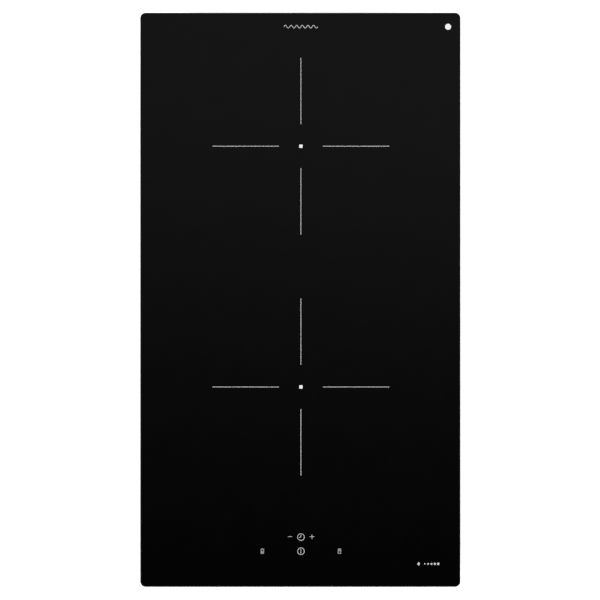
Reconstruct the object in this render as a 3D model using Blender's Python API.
"""Two-zone built-in induction cooktop (domino hob), 290 x 520 mm.

The frame has +Z up, +Y towards the back of the worktop and +X to the cook's right.
The origin is the centre of the footprint, at the level of the casing's feet.
Every length below is in millimetres, and make() turns it into metres.
"""

import math

import bmesh
import bpy
from mathutils import Matrix, Vector

MM = 0.001

# ---------------------------------------------------------------- driving dimensions
GLASS_W, GLASS_D, GLASS_T, GLASS_R = 290.0, 520.0, 4.0, 5.0  # glass-ceramic plate
HEIGHT = 56.0  # feet to top of glass
GLASS_Z = HEIGHT - GLASS_T  # underside of the glass
CUT_W, CUT_D = 270.0, 490.0  # worktop cut-out that the casing drops into
TRAY_X, TRAY_Y, TRAY_R, TRAY_T = 132.0, 240.0, 4.0, 1.0  # half width, half depth, corner, sheet
TRAY_Z0, TRAY_Z1 = 2.0, 49.4  # underside of the floor and top edge of the walls
FLOOR_Z = TRAY_Z0 + TRAY_T
SEAL_Z0, SEAL_Z1 = 49.6, 51.7  # foam strip under the rim: its lower face meets the worktop
FRAME_Z0, FRAME_Z1, LIP_Z = 49.75, 50.75, 38.0  # steel frame bonded to the glass
ZONE_REAR_Y, ZONE_FRONT_Y = 139.3, -79.1  # centres of the two cooking zones
COIL_R_IN, COIL_R_OUT = 26.0, 82.0
COIL_TRAVEL = 3.0  # how far a coil can be pushed down on its springs
PLATE_Z0, PLATE_Z1, PLATE_X = 33.5, 35.0, 124.0  # aluminium plate under the coils
BOARD_Z0, BOARD_Z1 = 9.0, 10.6
FAN_X, FAN_Y = -74.0, 150.0  # axis of the cooling fan
FAN_ROTOR_R, FAN_BLADES = 32.0, 24
COVER_Y, COVER_Z = 242.5, 35.5  # axis of the terminal cover's hinge
CLIP_Y, CLIP_W = 120.0, 20.0  # fixing clips: distance from centre, and width
CLIP_PIVOT_D, CLIP_PIVOT_Z = -0.5, 10.0  # clip's hook point: outward of the wall face, height
SCREW_Y, SCREW_Z = 190.0, 43.5
GLAND_X, GLAND_Z, GLAND_BORE = 38.0, 17.0, 4.7
GAP = 0.3


# ---------------------------------------------------------------- materials
def material(name, rgb, roughness, metallic=0.0):
    m = bpy.data.materials.new(name)
    m.use_nodes = True
    b = m.node_tree.nodes["Principled BSDF"]
    b.inputs["Base Color"].default_value = (*rgb, 1.0)
    b.inputs["Roughness"].default_value = roughness
    b.inputs["Metallic"].default_value = metallic
    m.diffuse_color = (*rgb, 1.0)
    return m


def materials():
    return {
        "black_glass": material("black_glass", (0.008, 0.008, 0.009), 0.08),
        "foam_seal": material("foam_seal", (0.03, 0.03, 0.032), 0.95),
        "silicone": material("silicone", (0.12, 0.12, 0.12), 0.5),
        "galvanised_steel": material("galvanised_steel", (0.55, 0.57, 0.59), 0.38, 0.9),
        "zinc_screw": material("zinc_screw", (0.62, 0.62, 0.60), 0.3, 1.0),
        "spring_steel": material("spring_steel", (0.42, 0.43, 0.45), 0.3, 1.0),
        "aluminium": material("aluminium", (0.72, 0.73, 0.75), 0.35, 1.0),
        "copper_litz": material("copper_litz", (0.55, 0.24, 0.10), 0.45, 0.6),
        "mica": material("mica", (0.62, 0.55, 0.42), 0.4),
        "heat_plastic": material("heat_plastic", (0.75, 0.73, 0.68), 0.55),
        "black_plastic": material("black_plastic", (0.03, 0.03, 0.032), 0.5),
        "grey_plastic": material("grey_plastic", (0.35, 0.36, 0.37), 0.5),
        "circuit_board": material("circuit_board", (0.03, 0.16, 0.07), 0.35),
        "film_capacitor": material("film_capacitor", (0.75, 0.50, 0.05), 0.35),
        "ferrite": material("ferrite", (0.07, 0.07, 0.075), 0.55),
        "silicone_cap": material("silicone_cap", (0.70, 0.16, 0.08), 0.6),
        "rubber": material("rubber", (0.02, 0.02, 0.02), 0.7),
    }


# ---------------------------------------------------------------- building blocks
def make(name, bm, mat=None, origin=(0, 0, 0), parent=None, smooth=32.0):
    """Writes a bmesh drawn in millimetres as an object in metres whose origin is at the given point."""
    bmesh.ops.recalc_face_normals(bm, faces=bm.faces)
    o = Vector(origin)
    for v in bm.verts:
        v.co = (v.co - o) * MM
    mesh = bpy.data.meshes.new(name)
    bm.to_mesh(mesh)
    bm.free()
    mesh.shade_smooth()
    mesh.set_sharp_from_angle(angle=math.radians(smooth))
    obj = bpy.data.objects.new(name, mesh)
    bpy.context.scene.collection.objects.link(obj)
    if parent is None:
        obj.location = o * MM
    else:
        obj.parent = parent
        obj.location = o * MM - parent.location
    if mat:
        mesh.materials.append(mat)
    return obj


def axis_empty(name, at):
    e = bpy.data.objects.new(name, None)
    e.location = Vector(at) * MM
    e.empty_display_size = 0.01
    bpy.context.scene.collection.objects.link(e)
    return e


def helper(obj):
    obj.hide_render = True
    obj.display_type = "WIRE"
    return obj


def boolean(obj, kind, bm, label):
    """Cuts or joins the shapes of a bmesh to obj. They mustn't touch each other."""
    other = helper(make(f"{obj.name}_{label}", bm))
    m = obj.modifiers.new(label, "BOOLEAN")
    m.operation = kind
    m.solver = "EXACT"
    m.object = other
    return other


def bevel(obj, width, segments=2, angle=40.0):
    m = obj.modifiers.new("Edge", "BEVEL")
    m.width = width * MM
    m.segments = segments
    m.limit_method = "ANGLE"
    m.angle_limit = math.radians(angle)
    return m


def rounded_rectangle(hx, hy, r, n=4):
    """Points round a rectangle of half sizes hx and hy with corner radius r, anticlockwise."""
    pts = []
    for k, (sx, sy) in enumerate(((1, 1), (-1, 1), (-1, -1), (1, -1))):
        for i in range(n + 1):
            a = math.radians(90 * k + 90 * i / n)
            pts.append((sx * (hx - r) + r * math.cos(a), sy * (hy - r) + r * math.sin(a)))
    return pts


def loop(bm, pts, z):
    return [bm.verts.new((x, y, z)) for x, y in pts]


def bridge(bm, a, b):
    n = len(a)
    for i in range(n):
        j = (i + 1) % n
        bm.faces.new((a[i], a[j], b[j], b[i]))


def frame_loops(bm, hx, hy, r, profile, n, closed):
    """Carries a profile of (offset, height) round a rounded rectangle. An open one is capped at both ends."""
    rows = [
        loop(bm, rounded_rectangle(hx + o, hy + o, max(r + o, 0.6), n), z)
        for o, z in profile
    ]
    for a, b in zip(rows, rows[1:]):
        bridge(bm, a, b)
    if closed:
        bridge(bm, rows[-1], rows[0])
    else:
        bm.faces.new(list(reversed(rows[0])))
        bm.faces.new(rows[-1])


def add_box(bm, lo, hi):
    size = [h - l for l, h in zip(lo, hi)]
    mid = [(h + l) / 2 for l, h in zip(lo, hi)]
    m = Matrix.Translation(mid) @ Matrix.Diagonal((*size, 1.0))
    return bmesh.ops.create_cube(bm, size=1.0, matrix=m)["verts"]


def add_cylinder(bm, centre, r, length, axis="Z", seg=24, r2=None):
    """A cylinder whose middle is at centre, along an axis. With r2 it tapers towards the positive end."""
    turn = {
        "Z": Matrix.Identity(4),
        "X": Matrix.Rotation(math.radians(90), 4, "Y"),
        "Y": Matrix.Rotation(math.radians(-90), 4, "X"),
    }[axis]
    return bmesh.ops.create_cone(
        bm,
        cap_ends=True,
        segments=seg,
        radius1=r,
        radius2=r if r2 is None else r2,
        depth=length,
        matrix=Matrix.Translation(centre) @ turn,
    )["verts"]


def add_prism(bm, outline, z0, z1):
    """Extrudes a flat outline, drawn anticlockwise, from z0 to z1."""
    face = bm.faces.new([bm.verts.new((x, y, z0)) for x, y in outline])
    up = bmesh.ops.extrude_face_region(bm, geom=[face])["geom"]
    bmesh.ops.translate(
        bm, vec=(0, 0, z1 - z0), verts=[v for v in up if isinstance(v, bmesh.types.BMVert)]
    )


def add_extrusion(bm, outline, a, b, axis):
    """Extrudes an outline of (u, z) along X or Y, from a to b; u is the other level axis."""
    def at(u, z, w):
        return (w, u, z) if axis == "X" else (u, w, z)

    face = bm.faces.new([bm.verts.new(at(u, z, a)) for u, z in outline])
    up = bmesh.ops.extrude_face_region(bm, geom=[face])["geom"]
    vec = (b - a, 0, 0) if axis == "X" else (0, b - a, 0)
    bmesh.ops.translate(bm, vec=vec, verts=[v for v in up if isinstance(v, bmesh.types.BMVert)])


def add_turned(bm, profile, centre=(0, 0), steps=32, start=0.0):
    """Turns a profile of (radius, height) round a vertical axis. If it starts and ends on the axis it is solid, or else it closes on itself."""
    solid = profile[0][0] == 0 and profile[-1][0] == 0
    cx, cy = centre
    rows = []
    for r, z in profile:
        if r == 0:
            rows.append([bm.verts.new((cx, cy, z))])
        else:
            rows.append(
                [
                    bm.verts.new(
                        (
                            cx + r * math.cos(start + 2 * math.pi * i / steps),
                            cy + r * math.sin(start + 2 * math.pi * i / steps),
                            z,
                        )
                    )
                    for i in range(steps)
                ]
            )
    pairs = list(zip(rows, rows[1:])) + ([] if solid else [(rows[-1], rows[0])])
    for a, b in pairs:
        for i in range(steps):
            j = (i + 1) % steps
            if len(a) == 1:
                bm.faces.new((a[0], b[j], b[i]))
            elif len(b) == 1:
                bm.faces.new((a[i], a[j], b[0]))
            else:
                bm.faces.new((a[i], a[j], b[j], b[i]))


def slot_outline(length, width, n=3):
    """An obround centred on 0, 0 with its length along the second axis."""
    r, h = width / 2, length / 2 - width / 2
    pts = [(r * math.cos(math.pi * i / n), h + r * math.sin(math.pi * i / n)) for i in range(n + 1)]
    return pts + [(-x, -y) for x, y in pts]


def add_slot(bm, centre, length, width, depth, normal="Z", along="Y", n=3):
    """An obround cutter through a wall. normal is the axis through the wall, along is the axis of its length."""
    cx, cy, cz = centre
    out = []
    for u, v in slot_outline(length, width, n):
        p = {"along": v, "across": u}
        axes = {along: p["along"]}
        rest = [a for a in "XYZ" if a not in (normal, along)][0]
        axes[rest] = p["across"]
        axes[normal] = -depth / 2
        out.append(bm.verts.new((cx + axes["X"], cy + axes["Y"], cz + axes["Z"])))
    face = bm.faces.new(out)
    up = bmesh.ops.extrude_face_region(bm, geom=[face])["geom"]
    vec = {"X": (depth, 0, 0), "Y": (0, depth, 0), "Z": (0, 0, depth)}[normal]
    bmesh.ops.translate(bm, vec=vec, verts=[v for v in up if isinstance(v, bmesh.types.BMVert)])


def spaced(first, last, pitch):
    n = int(round((last - first) / pitch))
    return [first + i * pitch for i in range(n + 1)]


# ---------------------------------------------------------------- glass, seal and frame
def glass_and_frame(mat):
    bm = bmesh.new()
    ground = [(-1.4 + 1.4 * math.sin(a), HEIGHT - 1.4 + 1.4 * math.cos(a)) for a in
              (math.radians(90), math.radians(60), math.radians(30), 0.0)]
    frame_loops(
        bm, GLASS_W / 2, GLASS_D / 2, GLASS_R,
        [(-0.6, GLASS_Z), (0.0, GLASS_Z + 0.6)] + ground, 6, False,
    )
    make("glass_top", bm, mat["black_glass"])

    bm = bmesh.new()
    frame_loops(
        bm, 143.5, 258.5, 4.0,
        [(0, SEAL_Z0), (0, SEAL_Z1), (-7.5, SEAL_Z1), (-7.5, SEAL_Z0)], 4, True,
    )
    make("seal_gasket", bm, mat["foam_seal"])

    bm = bmesh.new()
    frame_loops(
        bm, TRAY_X, TRAY_Y, TRAY_R,
        [(1.5, 51.0), (1.1, 51.7), (-4.6, 51.7), (-5.0, 51.0)], 3, True,
    )
    make("adhesive_bead", bm, mat["silicone"])

    bm = bmesh.new()
    frame_loops(
        bm, TRAY_X, TRAY_Y, TRAY_R,
        [(-6, FRAME_Z1), (-6, FRAME_Z0), (-2.3, FRAME_Z0), (-2.3, LIP_Z), (-1.3, LIP_Z),
         (-1.3, FRAME_Z0), (2.5, FRAME_Z0), (2.5, FRAME_Z1)], 4, True,
    )
    frame = make("support_frame", bm, mat["galvanised_steel"])
    bm = bmesh.new()
    for sx in (-1, 1):
        for sy in (-1, 1):
            add_cylinder(bm, (sx * 130.2, sy * SCREW_Y, SCREW_Z), 2.2, 3.0, "X", 12)
    boolean(frame, "DIFFERENCE", bm, "screw_holes")

    for sx, side in ((-1, "left"), (1, "right")):
        for sy, end in ((-1, "front"), (1, "rear")):
            bm = bmesh.new()
            profile = [(0, 134.6), (1.6, 134.6), (3.0, 134.2), (3.6, 133.4), (3.6, TRAY_X + GAP),
                       (1.9, TRAY_X + GAP), (1.9, 126.2), (1.3, 125.0), (0, 125.0)]
            add_turned(bm, [(r, z) for r, z in profile], steps=14)
            turn = Matrix.Rotation(math.radians(90 * sx), 4, "Y")
            bmesh.ops.transform(bm, matrix=Matrix.Translation((0, sy * SCREW_Y, SCREW_Z)) @ turn, verts=bm.verts)
            screw = make(f"frame_screw_{end}_{side}", bm, mat["zinc_screw"])
            bm = bmesh.new()
            w, h = 0.42, 1.9
            cross = [(w, -h), (w, -w), (h, -w), (h, w), (w, w), (w, h),
                     (-w, h), (-w, w), (-h, w), (-h, -w), (-w, -w), (-w, -h)]
            add_extrusion(bm, [(sy * SCREW_Y + u, SCREW_Z + v) for u, v in cross], sx * 133.2, sx * 136.0, "X")
            boolean(screw, "DIFFERENCE", bm, "cross_recess")


# ---------------------------------------------------------------- folded steel casing
def casing(mat):
    bm = bmesh.new()
    frame_loops(
        bm, TRAY_X, TRAY_Y, TRAY_R,
        [(-2.0, TRAY_Z0), (-0.6, TRAY_Z0 + 0.6), (0, TRAY_Z0 + 2.0), (0, TRAY_Z1),
         (-1.0, TRAY_Z1), (-1.0, FLOOR_Z + 1.2), (-1.4, FLOOR_Z + 0.4), (-2.2, FLOOR_Z)], 4, False,
    )
    tray = make("casing_tray", bm, mat["galvanised_steel"])

    cut = bmesh.new()
    for x in spaced(-90, 90, 9):  # front wall: warm air out
        add_slot(cut, (x, -TRAY_Y + 0.5, 23), 18, 3.2, 4, "Y", "Z")
    for x in spaced(-113, -14, 9):  # rear wall
        add_slot(cut, (x, TRAY_Y - 0.5, 23), 18, 3.2, 4, "Y", "Z")
    for sx in (-1, 1):  # side walls, near the front
        for y in spaced(-196, -151, 9):
            add_slot(cut, (sx * (TRAY_X - 0.5), y, 23), 18, 3.2, 4, "X", "Z")
    for y in spaced(151, 205, 9):  # left wall, beside the fan
        add_slot(cut, (-(TRAY_X - 0.5), y, 23), 18, 3.2, 4, "X", "Z")
    for x in spaced(-63, 63, 9):  # floor, near the front
        add_slot(cut, (x, -184, TRAY_Z0 + 0.5), 30, 3.2, 4, "Z", "Y")
    for i in range(-4, 5):  # fan inlet: bars across a circle with a rib down its middle
        x = 6.6 * i
        half = math.sqrt(31.0**2 - x * x)
        for s in (-1, 1):
            add_slot(cut, (FAN_X + x, FAN_Y + s * (half / 2 + 1.5), TRAY_Z0 + 0.5), half - 1.0, 3.3, 4, "Z", "Y")
    for sx in (-1, 1):
        for sy in (-1, 1):
            wall = sx * (TRAY_X - 0.5)
            add_cylinder(cut, (wall, sy * SCREW_Y, SCREW_Z), 2.3, 4, "X", 12)
            y0, y1 = sorted((sy * CLIP_Y - 11, sy * CLIP_Y + 11))
            add_box(cut, (wall - 2, y0, 8.6), (wall + 2, y1, 11.4))
            add_box(cut, (wall - 2, y0, 28.4), (wall + 2, y1, 37.2))
    add_box(cut, (62, TRAY_Y - 3, 8), (118, TRAY_Y + 2, 29))  # way to the terminals
    add_cylinder(cut, (GLAND_X, TRAY_Y - 0.5, GLAND_Z), 7.5, 4, "Y", 20)
    boolean(tray, "DIFFERENCE", cut, "openings")

    add = bmesh.new()
    for sx in (-1, 1):
        for sy in (-1, 1):
            add_turned(add, [(0, 0.0), (6.4, 0.0), (7.4, 0.5), (9.4, 2.5), (0, 2.5)], (sx * 112, sy * 216), 20)
    for x in (-100, -60, -20, 20, 60, 100):  # pressed stiffening ribs
        n = 5
        outline = [(x + px, -15 + py) for px, py in slot_outline(216, 9, n)]
        inner = [(x + px * 0.55, -15 + py * 0.985) for px, py in slot_outline(216, 9, n)]
        low, high = loop(add, inner, 1.0), loop(add, outline, 2.4)
        bridge(add, low, high)
        add.faces.new(list(reversed(low)))
        add.faces.new(high)
    boolean(tray, "UNION", add, "pressings")

    add = bmesh.new()  # rolled knuckles for the terminal cover
    for x0 in (60.0, 114.4):
        ring = [(1.0, 0.0), (1.9, 0.0), (1.9, 5.6), (1.0, 5.6)]
        part = bmesh.new()
        add_turned(part, ring, steps=16)
        turn = Matrix.Translation((x0, COVER_Y, COVER_Z)) @ Matrix.Rotation(math.radians(90), 4, "Y")
        bmesh.ops.transform(part, matrix=turn, verts=part.verts)
        temp = bpy.data.meshes.new("knuckle")
        part.to_mesh(temp)
        part.free()
        add.from_mesh(temp)
        bpy.data.meshes.remove(temp)
    boolean(tray, "UNION", add, "knuckles")
    add = bmesh.new()
    for x0 in (60.0, 114.4):
        add_box(add, (x0 + 0.2, TRAY_Y - 0.5, COVER_Z - 0.8), (x0 + 5.4, COVER_Y - 1.15, COVER_Z + 0.8))
    boolean(tray, "UNION", add, "knuckle_webs")


# ---------------------------------------------------------------- coils on springs
def coil_module(mat, end, cy):
    axis = axis_empty(f"coil_{end}_float", (0, cy, 46.9))
    here = dict(origin=(0, cy, 46.9), parent=axis)

    bm = bmesh.new()  # moulded carrier: disc, outer rim and hub
    add_turned(
        bm,
        [(10.5, 41.5), (13.0, 41.5), (13.0, 45.4), (83.5, 45.4), (83.5, 41.5), (86.0, 41.5),
         (86.0, 48.6), (84.4, 48.6), (84.4, 46.9), (10.5, 46.9)],
        (0, cy), 40,
    )
    carrier = make(f"coil_carrier_{end}", bm, mat["heat_plastic"], **here)
    bm = bmesh.new()  # walls of the ferrite pockets, and the pegs that hold the springs
    for k in range(6):
        a = math.radians(60 * k)
        for s in (-1, 1):
            part = bmesh.new()
            add_box(part, (30, s * 8.4 - 0.7, 41.5), (79, s * 8.4 + 0.7, 45.9))
            bmesh.ops.transform(part, matrix=Matrix.Translation((0, cy, 0)) @ Matrix.Rotation(a, 4, "Z"), verts=part.verts)
            temp = bpy.data.meshes.new("wall")
            part.to_mesh(temp)
            part.free()
            bm.from_mesh(temp)
            bpy.data.meshes.remove(temp)
    for a in (90, 210, 330):
        x, y = 66 * math.cos(math.radians(a)), cy + 66 * math.sin(math.radians(a))
        add_cylinder(bm, (x, y, 42.6), 2.6, 5.8, "Z", 10, 3.2)
    boolean(carrier, "UNION", bm, "pockets_and_pegs")

    bm = bmesh.new()  # pancake coil, as the ring that the wound wire fills
    add_turned(bm, [(COIL_R_IN, 47.2), (COIL_R_OUT, 47.2), (COIL_R_OUT, 50.5), (COIL_R_IN, 50.5)], (0, cy), 40)
    make(f"coil_winding_{end}", bm, mat["copper_litz"], **here)

    bm = bmesh.new()  # mica insulator with a hole for the sensor
    add_turned(bm, [(9.0, 50.9), (85.0, 50.9), (85.0, 51.4), (9.0, 51.4)], (0, cy), 40)
    make(f"mica_disc_{end}", bm, mat["mica"], **here)

    bm = bmesh.new()  # temperature sensor in its silicone cap
    add_turned(
        bm,
        [(0, 43.5), (5.0, 43.5), (5.0, 46.0), (9.6, 47.3), (9.6, 48.4), (7.2, 49.2), (7.2, 51.0), (6.4, 51.6), (0, 51.6)],
        (0, cy), 20,
    )
    make(f"temperature_sensor_{end}", bm, mat["silicone_cap"], **here)

    for k, a in enumerate((90, 210, 330)):  # compression springs between plate and carrier
        x, y = 66 * math.cos(math.radians(a)), cy + 66 * math.sin(math.radians(a))
        turns, steps, wire = 3.25, 10, 0.5
        z0, z1 = PLATE_Z1 + GAP + wire, 45.4 - GAP - wire
        curve = bpy.data.curves.new(f"coil_spring_{end}_{k + 1}", "CURVE")
        curve.dimensions = "3D"
        curve.bevel_depth = wire * MM
        curve.bevel_resolution = 0
        curve.use_fill_caps = True
        n = int(turns * steps)
        spline = curve.splines.new("POLY")
        spline.points.add(n)
        for i, p in enumerate(spline.points):
            t = i / steps
            rise = z0 + (z1 - z0) * min(1.0, max(0.0, (t - 0.25) / (turns - 0.5)))
            ang = 2 * math.pi * t
            p.co = (5.2 * math.cos(ang) * MM, 5.2 * math.sin(ang) * MM, (rise - PLATE_Z1) * MM, 1.0)
        obj = bpy.data.objects.new(f"coil_spring_{end}_{k + 1}", curve)
        obj.location = (x * MM, y * MM, PLATE_Z1 * MM)
        bpy.context.scene.collection.objects.link(obj)
        curve.materials.append(mat["spring_steel"])


def support_plate(mat):
    bm = bmesh.new()  # aluminium channel: its turned-down sides stand on the casing's floor
    t, w = PLATE_Z1 - PLATE_Z0, PLATE_X
    add_extrusion(
        bm,
        [(-w, 3.4), (-w + t, 3.4), (-w + t, PLATE_Z0), (w - t, PLATE_Z0), (w - t, 3.4), (w, 3.4),
         (w, PLATE_Z1), (-w, PLATE_Z1)],
        -172, 234, "Y",
    )
    plate = make("coil_support_plate", bm, mat["aluminium"])
    cut = bmesh.new()
    for cy in (ZONE_REAR_Y, ZONE_FRONT_Y):
        add_cylinder(cut, (0, cy, PLATE_Z0), 20, 6, "Z", 24)
        for s in (-1, 1):  # openings for the coil's leads and for air
            add_slot(cut, (s * 102, cy, PLATE_Z0), 60, 12, 6, "Z", "Y", 3)
    for s in (-1, 1):  # air passages in the turned-down sides
        for y in spaced(-150, 195, 34.5):
            add_box(cut, (s * 123.2 - 3, y - 8, 12), (s * 123.2 + 3, y + 8, 26))
    boolean(plate, "DIFFERENCE", cut, "openings")


# ---------------------------------------------------------------- electronics
def electronics(mat):
    bm = bmesh.new()
    frame_loops(
        bm, 121.6, 133.5, 3.0,
        [(0, 3.4), (0, 8.2), (-1.6, 8.2), (-1.6, 5.0)], 3, False,
    )
    bmesh.ops.translate(bm, vec=(0, -37.5, 0), verts=bm.verts)
    carrier = make("electronics_carrier", bm, mat["black_plastic"])
    bm = bmesh.new()
    for x in (-112, 0, 112):
        for y in (-160, -36, 88):
            add_cylinder(bm, (x, y, 6.6), 3.4, 4.2, "Z", 12)
    boolean(carrier, "UNION", bm, "posts")

    bm = bmesh.new()
    add_prism(bm, [(x, y - 37.5) for x, y in rounded_rectangle(119.0, 131.0, 2.0, 2)], BOARD_Z0, BOARD_Z1)
    board = make("power_board", bm, mat["circuit_board"])
    bm = bmesh.new()
    for x in (-112, 0, 112):
        for y in (-160, 88):
            add_cylinder(bm, (x, y, BOARD_Z0 + 0.8), 2.0, 4, "Z", 12)
    boolean(board, "DIFFERENCE", bm, "screw_holes")

    z0 = BOARD_Z1 + GAP
    bm = bmesh.new()  # extruded heat sink: base web, fins and the flank that the switches sit on
    outline = [(-64, z0), (-60, z0), (-60, 32.6), (-64, 32.6)]
    top = 14.0
    comb = [(-118, z0)] + outline[:3] + [(-64, 32.6), (-64, top)]
    for i in range(9):
        x = -68.2 - 5.9 * i
        comb += [(x, top), (x, 30.5), (x - 1.8, 30.5), (x - 1.8, top)]
    comb += [(-118, top)]
    comb = [p for i, p in enumerate(comb) if i == 0 or p != comb[i - 1]]
    comb = [comb[0]] + [p for p in comb[2:]]
    comb[1] = (-60, z0)
    add_extrusion(bm, comb, -66, 92, "Y")
    make("heat_sink", bm, mat["aluminium"])

    def block(name, lo, hi, m, edge=0.6):
        b = bmesh.new()
        add_box(b, lo, hi)
        o = make(name, b, mat[m])
        bevel(o, edge, 1)
        return o

    for end, y in (("rear", 66), ("front", 28)):  # one power switch for each coil
        block(f"power_switch_{end}", (-59.7, y - 8, 12.0), (-54.7, y + 8, 32.6), "black_plastic", 0.5)
    block("bridge_rectifier", (-59.7, -30, 12.0), (-54.9, -4, 31.0), "black_plastic", 0.5)
    block("dc_link_capacitor", (-36, 34, z0), (8, 62, 32.0), "film_capacitor", 0.9)
    block("resonant_capacitor_rear", (-36, -8, z0), (6, 16, 30.0), "film_capacitor", 0.9)
    block("resonant_capacitor_front", (-36, -50, z0), (6, -26, 30.0), "film_capacitor", 0.9)
    block("suppression_capacitor", (84, 60, z0), (110, 74, 28.0), "film_capacitor", 0.8)
    block("mains_relay", (84, 14, z0), (113, 27, 26.5), "black_plastic", 0.5)
    block("standby_transformer", (38, -96, z0), (66, -70, 29.0), "ferrite", 1.0)
    bm = bmesh.new()
    add_turned(bm, [(8, 12.2), (9, z0), (17, z0), (18, 12.2), (18, 25.0), (17, 26.2), (9, 26.2), (8, 25.0)], (54, 56), 28)
    make("filter_choke", bm, mat["ferrite"])


def user_interface(mat):
    bm = bmesh.new()  # bracket: deck, rim that holds the board, and four legs
    frame_loops(bm, 62, 19.2, 2.0, [(0, 43.0), (0, 48.6), (-1.6, 48.6), (-1.6, 45.2)], 2, False)
    bmesh.ops.translate(bm, vec=(0, -217.0, 0), verts=bm.verts)
    bracket = make("touch_board_bracket", bm, mat["black_plastic"])
    bm = bmesh.new()
    for x in (-52, 52):
        for y in (-230, -204):
            add_box(bm, (x - 4, y - 4, 3.4), (x + 4, y + 4, 44.0))
    boolean(bracket, "UNION", bm, "legs")
    bm = bmesh.new()
    for x in (-28, 28):
        add_box(bm, (x - 14, -228, 40), (x + 14, -206, 50))
    boolean(bracket, "DIFFERENCE", bm, "windows")

    bm = bmesh.new()
    add_prism(bm, [(x, y - 217) for x, y in rounded_rectangle(60.0, 17.2, 1.0, 2)], 45.5, 46.7)
    make("touch_board", bm, mat["circuit_board"])
    for name, x, y, w in (("zone_display_left", -20, -228, 7), ("zone_display_right", 21, -228, 7), ("timer_display", 0.5, -204.5, 9)):
        bm = bmesh.new()
        add_box(bm, (x - w, y - 4.0, 47.0), (x + w, y + 4.0, 51.4))
        bevel(make(name, bm, mat["black_plastic"]), 0.4, 1)


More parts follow.
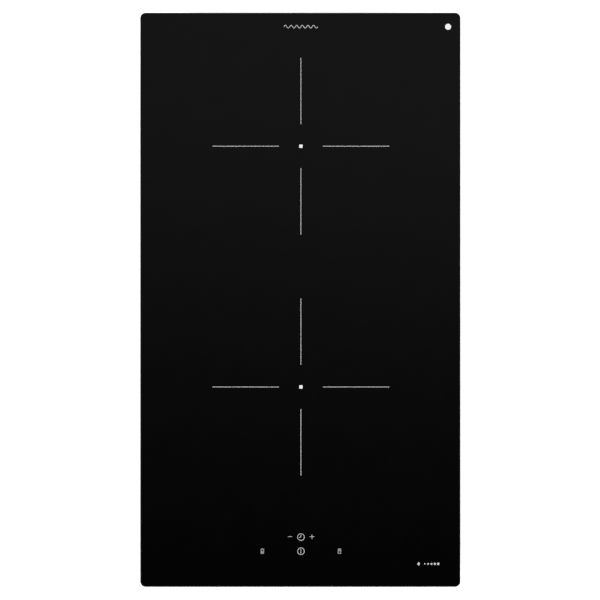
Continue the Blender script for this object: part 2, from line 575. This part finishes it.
# ---------------------------------------------------------------- cooling fan
def fan(mat):
    def around(points):
        return [(FAN_X + x, FAN_Y + y) for x, y in points]

    def plate_outline():
        return [(x - 2.5, y - 3.0) for x, y in rounded_rectangle(45.5, 48.5, 4.0, 3)]

    def strip(points, thickness):
        """A wall that follows a line, of the given thickness on the line's right."""
        out = []
        for i, p in enumerate(points):
            a, b = Vector(points[max(i - 1, 0)]), Vector(points[min(i + 1, len(points) - 1)])
            d = (b - a).normalized()
            out.append((p[0] + d.y * thickness, p[1] - d.x * thickness))
        return [*points, *reversed(out)]

    def scroll(n=26):
        pts = []
        for i in range(n + 1):
            a = math.radians(235 + 305 * i / n)
            r = 36 + 8 * i / n
            pts.append((r * math.cos(a), r * math.sin(a)))
        return pts + [(-44, -25), (-44, -50)]

    bm = bmesh.new()
    add_prism(bm, around(plate_outline()), 5.4, 6.9)
    housing = make("fan_housing", bm, mat["black_plastic"])
    bm = bmesh.new()
    add_prism(bm, list(reversed(around(strip(scroll(), 1.5)))), 6.4, 26.9)
    add_prism(bm, around([(-16.0, -50), (-14.5, -50), (-19.2, -33.2), (-20.9, -33.2)]), 6.4, 26.9)
    boolean(housing, "UNION", bm, "scroll")
    bm = bmesh.new()
    add_cylinder(bm, (FAN_X, FAN_Y, 6.0), 28.5, 6, "Z", 32)
    boolean(housing, "DIFFERENCE", bm, "inlet")
    bm = bmesh.new()
    for x, y in ((-42, 38), (37, 38), (37, -44), (-42, -46)):
        add_cylinder(bm, (FAN_X + x, FAN_Y + y, 4.6), 3.0, 2.2, "Z", 10)
    boolean(housing, "UNION", bm, "feet")

    bm = bmesh.new()
    add_prism(bm, around(plate_outline()), 27.2, 28.8)
    cover = make("fan_cover", bm, mat["black_plastic"])
    bm = bmesh.new()
    add_turned(bm, [(2.75, 17.0), (3.4, 17.0), (3.4, 27.9), (2.75, 27.9)], (FAN_X, FAN_Y), 20)
    boolean(cover, "UNION", bm, "bearing_tube")

    bm = bmesh.new()
    add_turned(bm, [(1.6, 17.2), (2.5, 17.2), (2.5, 26.4), (1.6, 26.4)], (FAN_X, FAN_Y), 24)
    make("fan_bearing", bm, mat["zinc_screw"])

    bm = bmesh.new()  # four-pole stator
    pole = []
    for k in range(4):
        a0 = 90 * k
        for r, a in ((6.2, -30), (6.6, -20), (9.8, -13), (10.6, -34), (12.7, -36), (12.9, -18), (12.9, 0),
                     (12.9, 18), (12.7, 36), (10.6, 34), (9.8, 13), (6.6, 20), (6.2, 30)):
            t = math.radians(a0 + a)
            pole.append((r * math.cos(t), r * math.sin(t)))
    add_prism(bm, around(pole), 16.8, 24.0)
    stator = make("fan_stator", bm, mat["ferrite"])
    bm = bmesh.new()
    add_cylinder(bm, (FAN_X, FAN_Y, 20), 3.7, 12, "Z", 20)
    boolean(stator, "DIFFERENCE", bm, "bore")

    axis = axis_empty("fan_spin", (FAN_X, FAN_Y, 16.0))
    here = dict(origin=(FAN_X, FAN_Y, 16.0), parent=axis)
    bm = bmesh.new()
    add_turned(
        bm,
        [(0, 11.5), (14.5, 11.5), (15.6, 12.6), (15.6, 22.8), (32, 22.8), (32, 24.2), (13.8, 24.2), (13.8, 13.3),
         (3.4, 13.3), (3.4, 16.0), (1.75, 16.0), (1.75, 12.6), (0, 12.6)],
        (FAN_X, FAN_Y), 32,
    )
    rotor = make("fan_rotor", bm, mat["black_plastic"], **here)
    bm = bmesh.new()  # forward-curved blades, leaning into the turn
    for k in range(FAN_BLADES):
        part = bmesh.new()
        inner, outer, lean, t = 26.4, 31.7, math.radians(9), 0.5
        edge = []
        for s in (-1, 1):
            row = []
            for i in range(3):
                f = i / 2
                r, a = inner + (outer - inner) * f, lean * f * f
                row.append((r * math.cos(a) - s * t * math.sin(a), r * math.sin(a) + s * t * math.cos(a)))
            edge.append(row)
        add_prism(part, edge[0] + list(reversed(edge[1])), 9.2, 23.3)
        turn = Matrix.Translation((FAN_X, FAN_Y, 0)) @ Matrix.Rotation(2 * math.pi * k / FAN_BLADES, 4, "Z")
        bmesh.ops.transform(part, matrix=turn, verts=part.verts)
        temp = bpy.data.meshes.new("blade")
        part.to_mesh(temp)
        part.free()
        bm.from_mesh(temp)
        bpy.data.meshes.remove(temp)
    boolean(rotor, "UNION", bm, "blades")
    bm = bmesh.new()
    add_turned(bm, [(27.4, 8.7), (32.0, 8.7), (32.0, 9.8), (27.4, 9.8)], (FAN_X, FAN_Y), 32)
    boolean(rotor, "UNION", bm, "shroud")

    bm = bmesh.new()
    add_cylinder(bm, (FAN_X, FAN_Y, 19.9), 1.5, 14.0, "Z", 24)
    make("fan_shaft", bm, mat["zinc_screw"], **here)


# ---------------------------------------------------------------- mains connection
def mains_connection(mat):
    bm = bmesh.new()  # box open towards the casing's rear wall
    lo, hi, t = (22.0, 206.0, 3.6), (121.6, 238.4, 32.0), 1.6
    add_box(bm, lo, hi)
    box = make("terminal_box", bm, mat["black_plastic"])
    bm = bmesh.new()
    add_box(bm, (lo[0] + t, lo[1] + t, lo[2] + t), (hi[0] - t, hi[1] + 5, hi[2] - t))
    boolean(box, "DIFFERENCE", bm, "chamber")
    bm = bmesh.new()
    add_slot(bm, (66, 206.8, 24), 34, 8, 5, "Y", "X", 3)  # way for the leads to the board
    boolean(box, "DIFFERENCE", bm, "lead_slot")

    bm = bmesh.new()
    add_box(bm, (65, 208.2, 6.0), (115, 223, 22.5))
    block = make("terminal_block", bm, mat["heat_plastic"])
    bm = bmesh.new()
    for i in range(5):
        x = 70 + 10 * i
        add_cylinder(bm, (x, 219, 11.5), 2.6, 12, "Y", 12)
        add_cylinder(bm, (x, 215, 21), 2.4, 8, "Z", 12)
    boolean(block, "DIFFERENCE", bm, "ways")

    bm = bmesh.new()  # snap-in bush that the mains cord passes through
    add_turned(
        bm,
        [(GLAND_BORE, -9.0), (6.4, -9.0), (7.2, -7.6), (8.4, -5.4), (8.4, -1.4), (7.2, -1.4), (7.2, 0.3), (9.8, 0.3),
         (9.8, 1.6), (8.8, 2.6), (GLAND_BORE + 0.5, 2.6), (GLAND_BORE, 2.1)],
        steps=24,
    )
    bmesh.ops.transform(
        bm,
        matrix=Matrix.Translation((GLAND_X, TRAY_Y, GLAND_Z)) @ Matrix.Rotation(math.radians(-90), 4, "X"),
        verts=bm.verts,
    )
    make("cable_gland", bm, mat["rubber"])

    axis = axis_empty("terminal_cover_hinge", (90, COVER_Y, COVER_Z))
    here = dict(origin=(90, COVER_Y, COVER_Z), parent=axis)
    bm = bmesh.new()
    frame_loops(bm, 31.6, 13.7, 2.0, [(-0.6, 0.0), (0, 0.5), (0, 1.6), (-0.5, 2.1)], 3, False)
    bmesh.ops.transform(
        bm,
        matrix=Matrix.Translation((90, TRAY_Y + GAP, 18.7)) @ Matrix.Rotation(math.radians(-90), 4, "X"),
        verts=bm.verts,
    )
    cover = make("terminal_cover", bm, mat["black_plastic"], **here)
    bm = bmesh.new()
    ring = [(1.0, 0.0), (1.9, 0.0), (1.9, 48.0), (1.0, 48.0)]
    add_turned(bm, ring, steps=16)
    bmesh.ops.transform(
        bm,
        matrix=Matrix.Translation((66.0, COVER_Y, COVER_Z)) @ Matrix.Rotation(math.radians(90), 4, "Y"),
        verts=bm.verts,
    )
    boolean(cover, "UNION", bm, "barrel")
    bm = bmesh.new()
    add_box(bm, (66.2, TRAY_Y + GAP + 0.3, 31.0), (113.8, TRAY_Y + GAP + 1.8, COVER_Z - 1.3))
    boolean(cover, "UNION", bm, "neck")
    bm = bmesh.new()
    add_cylinder(bm, (90, COVER_Y, COVER_Z), 0.72, 61.0, "X", 12)
    make("terminal_cover_pin", bm, mat["zinc_screw"])


# ---------------------------------------------------------------- fixing clips
def clips(mat):
    line = [(-4.4, 13.6), (-4.4, 10.9), (-3.5, 10.0), (1.6, 10.0), (2.6, 10.7), (6.3, 24.8), (6.7, 27.0), (6.2, 28.8), (-0.6, 34.8)]
    half = 0.4
    left, right = [], []
    for i, p in enumerate(line):
        a, b = Vector(line[max(i - 1, 0)]), Vector(line[min(i + 1, len(line) - 1)])
        d = (b - a).normalized()
        left.append((p[0] - d.y * half, p[1] + d.x * half))
        right.append((p[0] + d.y * half, p[1] - d.x * half))
    outline = right + list(reversed(left))
    for sx, side in ((-1, "left"), (1, "right")):
        for sy, end in ((-1, "front"), (1, "rear")):
            pivot = (sx * (TRAY_X + CLIP_PIVOT_D), sy * CLIP_Y, CLIP_PIVOT_Z)
            axis = axis_empty(f"clip_{end}_{side}_flex", pivot)
            bm = bmesh.new()
            pts = [(sx * (TRAY_X + d), z) for d, z in outline]
            add_extrusion(bm, pts, sy * CLIP_Y - CLIP_W / 2, sy * CLIP_Y + CLIP_W / 2, "Y")
            make(f"fixing_clip_{end}_{side}", bm, mat["spring_steel"], origin=pivot, parent=axis)


def main():
    for obj in list(bpy.data.objects):
        bpy.data.objects.remove(obj, do_unlink=True)
    mat = materials()
    glass_and_frame(mat)
    casing(mat)
    support_plate(mat)
    coil_module(mat, "rear", ZONE_REAR_Y)
    coil_module(mat, "front", ZONE_FRONT_Y)
    electronics(mat)
    user_interface(mat)
    fan(mat)
    mains_connection(mat)
    clips(mat)


main()
